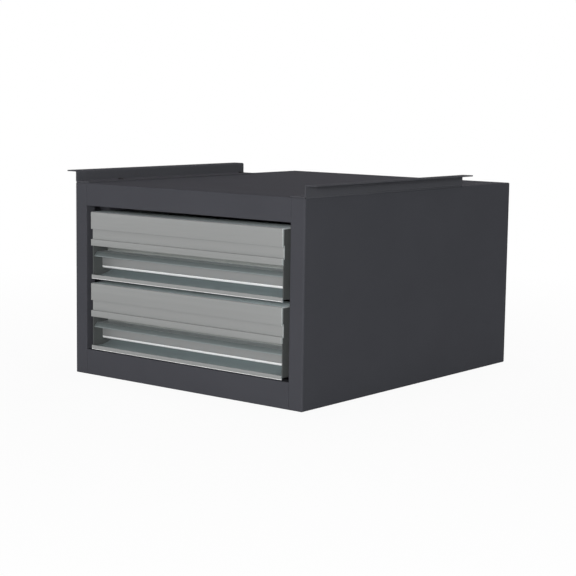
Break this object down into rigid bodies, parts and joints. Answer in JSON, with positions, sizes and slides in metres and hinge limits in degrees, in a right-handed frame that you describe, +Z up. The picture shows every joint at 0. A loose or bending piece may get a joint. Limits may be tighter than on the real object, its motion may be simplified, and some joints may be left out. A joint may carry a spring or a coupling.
{
  "type": "workbench drawer unit",
  "caption": "Low sheet-steel drawer unit that hangs under a workbench on Z-section rails, with aluminium-fronted drawers on full-extension ball slides.",
  "frame": {"origin": "middle of the housing at the level of its underside", "axes": "+Z up, -Y out of the drawer fronts, +X to the right seen from the front"},
  "size_m": [0.542, 0.603, 0.35],
  "materials": {
    "housing_powder_coat": "anthracite powder coat, matt",
    "drawer_powder_coat": "anthracite powder coat, matt",
    "anodised_aluminium": "natural anodised, extrusion lines along the length",
    "zinc_plated_steel": "bright zinc plated",
    "zinc_plated_fasteners": "bright zinc plated",
    "black_steel": "black oxide"
  },
  "bodies": {
    "housing": {"left_side_panel": "housing_powder_coat", "right_side_panel": "housing_powder_coat", "top_panel": "housing_powder_coat", "bottom_panel": "housing_powder_coat", "back_panel": "housing_powder_coat", "left_mount_rail": "housing_powder_coat", "right_mount_rail": "housing_powder_coat", "rail_screws": "black_steel", "rail_nuts": "zinc_plated_fasteners", "left_front_upright": "housing_powder_coat", "left_rear_upright": "housing_powder_coat", "right_front_upright": "housing_powder_coat", "right_rear_upright": "housing_powder_coat", "upright_screws": "zinc_plated_fasteners", "upper_left_outer_rail": "zinc_plated_steel", "upper_right_outer_rail": "zinc_plated_steel", "lower_left_outer_rail": "zinc_plated_steel", "lower_right_outer_rail": "zinc_plated_steel"},
    "upper_drawer": {"upper_front": "anodised_aluminium", "upper_left_wall": "drawer_powder_coat", "upper_right_wall": "drawer_powder_coat", "upper_floor": "drawer_powder_coat", "upper_rear_wall": "drawer_powder_coat", "upper_front_screws": "black_steel", "upper_slide_screws": "zinc_plated_fasteners", "upper_left_inner_rail": "zinc_plated_steel", "upper_right_inner_rail": "zinc_plated_steel"},
    "upper_middle_rails": {"upper_left_middle_rail": "zinc_plated_steel", "upper_right_middle_rail": "zinc_plated_steel"},
    "upper_outer_cages": {"upper_left_outer_cage": "zinc_plated_steel", "upper_right_outer_cage": "zinc_plated_steel"},
    "upper_inner_cages": {"upper_left_inner_cage": "zinc_plated_steel", "upper_right_inner_cage": "zinc_plated_steel"},
    "lower_drawer": {"lower_front": "anodised_aluminium", "lower_left_wall": "drawer_powder_coat", "lower_right_wall": "drawer_powder_coat", "lower_floor": "drawer_powder_coat", "lower_rear_wall": "drawer_powder_coat", "lower_front_screws": "black_steel", "lower_slide_screws": "zinc_plated_fasteners", "lower_left_inner_rail": "zinc_plated_steel", "lower_right_inner_rail": "zinc_plated_steel"},
    "lower_middle_rails": {"lower_left_middle_rail": "zinc_plated_steel", "lower_right_middle_rail": "zinc_plated_steel"},
    "lower_outer_cages": {"lower_left_outer_cage": "zinc_plated_steel", "lower_right_outer_cage": "zinc_plated_steel"},
    "lower_inner_cages": {"lower_left_inner_cage": "zinc_plated_steel", "lower_right_inner_cage": "zinc_plated_steel"}
  },
  "joints": [
    {"name": "upper_drawer_slide", "type": "slide", "parent": "housing", "child": "upper_drawer", "axis": [0, -1, 0], "range_m": [0, 0.5]},
    {"name": "upper_middle_rails_slide", "type": "slide", "parent": "housing", "child": "upper_middle_rails", "axis": [0, -1, 0], "range_m": [0, 0.25]},
    {"name": "upper_outer_cages_slide", "type": "slide", "parent": "housing", "child": "upper_outer_cages", "axis": [0, -1, 0], "range_m": [0, 0.125]},
    {"name": "upper_inner_cages_slide", "type": "slide", "parent": "housing", "child": "upper_inner_cages", "axis": [0, -1, 0], "range_m": [0, 0.375]},
    {"name": "lower_drawer_slide", "type": "slide", "parent": "housing", "child": "lower_drawer", "axis": [0, -1, 0], "range_m": [0, 0.5]},
    {"name": "lower_middle_rails_slide", "type": "slide", "parent": "housing", "child": "lower_middle_rails", "axis": [0, -1, 0], "range_m": [0, 0.25]},
    {"name": "lower_outer_cages_slide", "type": "slide", "parent": "housing", "child": "lower_outer_cages", "axis": [0, -1, 0], "range_m": [0, 0.125]},
    {"name": "lower_inner_cages_slide", "type": "slide", "parent": "housing", "child": "lower_inner_cages", "axis": [0, -1, 0], "range_m": [0, 0.375]}
  ],
  "couplings": [
    {"joint": "upper_middle_rails_slide", "follows": "upper_drawer_slide", "ratio": 0.5},
    {"joint": "upper_outer_cages_slide", "follows": "upper_drawer_slide", "ratio": 0.25},
    {"joint": "upper_inner_cages_slide", "follows": "upper_drawer_slide", "ratio": 0.75},
    {"joint": "lower_middle_rails_slide", "follows": "lower_drawer_slide", "ratio": 0.5},
    {"joint": "lower_outer_cages_slide", "follows": "lower_drawer_slide", "ratio": 0.25},
    {"joint": "lower_inner_cages_slide", "follows": "lower_drawer_slide", "ratio": 0.75}
  ]
}
